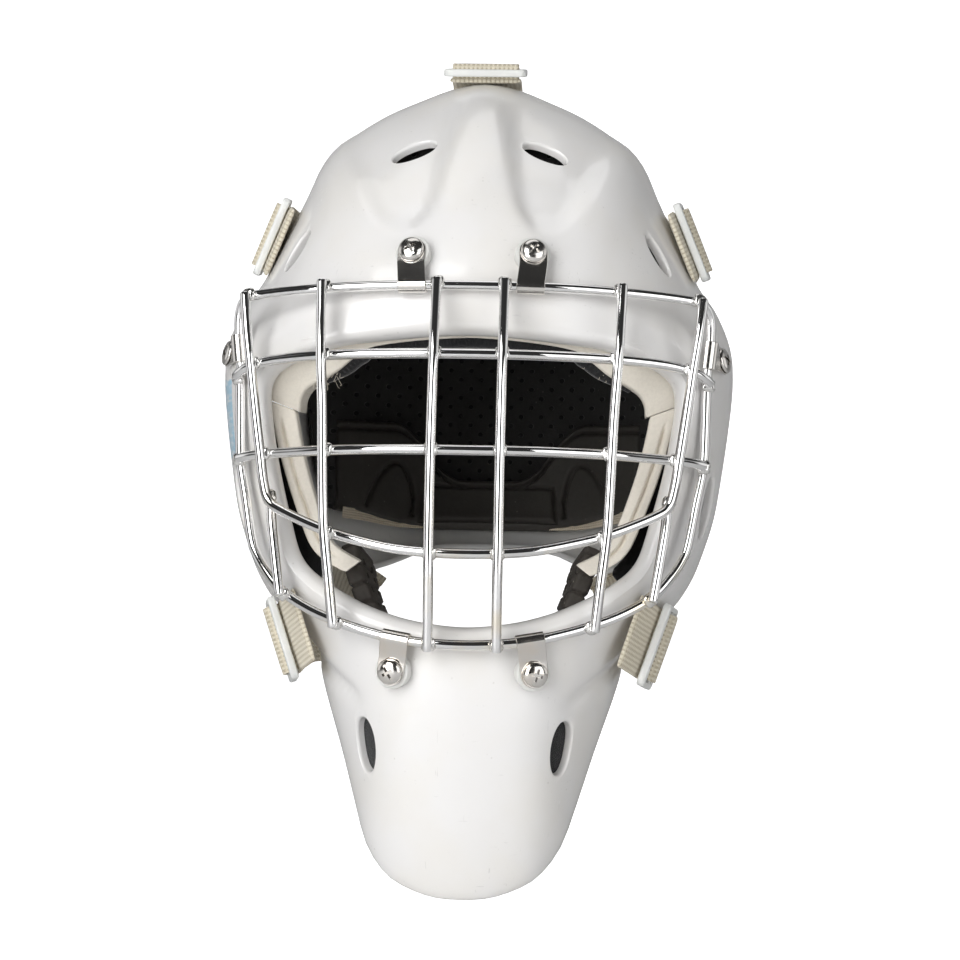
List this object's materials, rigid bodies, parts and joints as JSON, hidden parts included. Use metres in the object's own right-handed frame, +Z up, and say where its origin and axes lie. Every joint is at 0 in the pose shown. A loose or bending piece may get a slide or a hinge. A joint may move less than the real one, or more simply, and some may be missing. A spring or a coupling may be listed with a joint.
{
  "type": "goalie mask",
  "caption": "Ice hockey goalie mask: white moulded shell, chrome wire cage on screwed clips, hinged back plate on elastic straps, and padding.",
  "frame": {"origin": "centre of the wearer's head", "axes": "+Z up, +Y to the back of the head, +X to the wearer's left"},
  "size_m": [0.2384, 0.2773, 0.3834],
  "materials": {
    "shell_white": "glossy clear-coated white",
    "plate_white": "satin moulded white",
    "wire_chrome": "polished chrome plating",
    "clip_nickel": "bright nickel plate",
    "spacer_nylon": "translucent natural nylon",
    "strap_elastic": "knitted cream elastic",
    "slide_plastic": "translucent white moulded plastic",
    "liner_cream": "closed-cell foam with a cream skin",
    "pad_black": "black foam and velour",
    "cup_foam": "moulded dark grey foam"
  },
  "bodies": {
    "mask": {"shell": "shell_white", "cage_rim_wire": "wire_chrome", "cage_upper_bar": "wire_chrome", "cage_middle_bar": "wire_chrome", "cage_u_bar": "wire_chrome", "cage_outer_upright_left": "wire_chrome", "cage_outer_upright_right": "wire_chrome", "cage_inner_upright_left": "wire_chrome", "cage_inner_upright_right": "wire_chrome", "cage_jaw_stub_left": "wire_chrome", "cage_jaw_stub_right": "wire_chrome", "clip_brow_left": "clip_nickel", "screw_brow_left": "clip_nickel", "spacer_brow_left": "spacer_nylon", "nut_brow_left": "clip_nickel", "clip_brow_right": "clip_nickel", "screw_brow_right": "clip_nickel", "spacer_brow_right": "spacer_nylon", "nut_brow_right": "clip_nickel", "clip_temple_left": "clip_nickel", "screw_temple_left": "clip_nickel", "spacer_temple_left": "spacer_nylon", "nut_temple_left": "clip_nickel", "clip_temple_right": "clip_nickel", "screw_temple_right": "clip_nickel", "spacer_temple_right": "spacer_nylon", "nut_temple_right": "clip_nickel", "clip_chin_left": "clip_nickel", "screw_chin_left": "clip_nickel", "spacer_chin_left": "spacer_nylon", "nut_chin_left": "clip_nickel", "clip_chin_right": "clip_nickel", "screw_chin_right": "clip_nickel", "spacer_chin_right": "spacer_nylon", "nut_chin_right": "clip_nickel", "strap_crown": "strap_elastic", "strap_upper_left": "strap_elastic", "strap_upper_right": "strap_elastic", "strap_lower_left": "strap_elastic", "strap_lower_right": "strap_elastic", "forehead_liner": "liner_cream", "cheek_liner_left": "liner_cream", "cheek_liner_right": "liner_cream", "jaw_pad_left": "pad_black", "jaw_pad_right": "pad_black", "crown_pad": "pad_black", "chin_cup": "cup_foam"},
    "back_plate": {"back_plate": "plate_white", "back_liner": "pad_black", "occipital_pad": "cup_foam", "rivet_crown": "clip_nickel", "rivet_upper_left": "clip_nickel", "rivet_upper_right": "clip_nickel", "rivet_lower_left": "clip_nickel", "rivet_lower_right": "clip_nickel"},
    "slide_crown_body": {"slide_crown": "slide_plastic"},
    "slide_upper_left_body": {"slide_upper_left": "slide_plastic"},
    "slide_upper_right_body": {"slide_upper_right": "slide_plastic"},
    "slide_lower_left_body": {"slide_lower_left": "slide_plastic"},
    "slide_lower_right_body": {"slide_lower_right": "slide_plastic"}
  },
  "joints": [
    {"name": "back_plate_swing", "type": "hinge", "parent": "mask", "child": "back_plate", "pos_m": [0, 0.012, 0.193], "axis": [1, 0, 0], "range_deg": [0, 15], "stiffness_Nm_per_rad": 2, "springref_deg": -8.59, "deforming": ["strap_crown", "strap_upper_left", "strap_upper_right", "strap_lower_left", "strap_lower_right"]},
    {"name": "slide_crown_along_strap", "type": "slide", "parent": "mask", "child": "slide_crown_body", "axis": [0, 0.9889, 0.1484], "range_m": [-0.004, 0.008]},
    {"name": "slide_upper_left_along_strap", "type": "slide", "parent": "mask", "child": "slide_upper_left_body", "axis": [-0.0702, 0.9942, 0.0816], "range_m": [-0.004, 0.008]},
    {"name": "slide_upper_right_along_strap", "type": "slide", "parent": "mask", "child": "slide_upper_right_body", "axis": [0.0702, 0.9942, 0.0816], "range_m": [-0.004, 0.008]},
    {"name": "slide_lower_left_along_strap", "type": "slide", "parent": "mask", "child": "slide_lower_left_body", "axis": [-0.1617, 0.9754, -0.1499], "range_m": [-0.004, 0.008]},
    {"name": "slide_lower_right_along_strap", "type": "slide", "parent": "mask", "child": "slide_lower_right_body", "axis": [0.1617, 0.9754, -0.1499], "range_m": [-0.004, 0.008]}
  ]
}
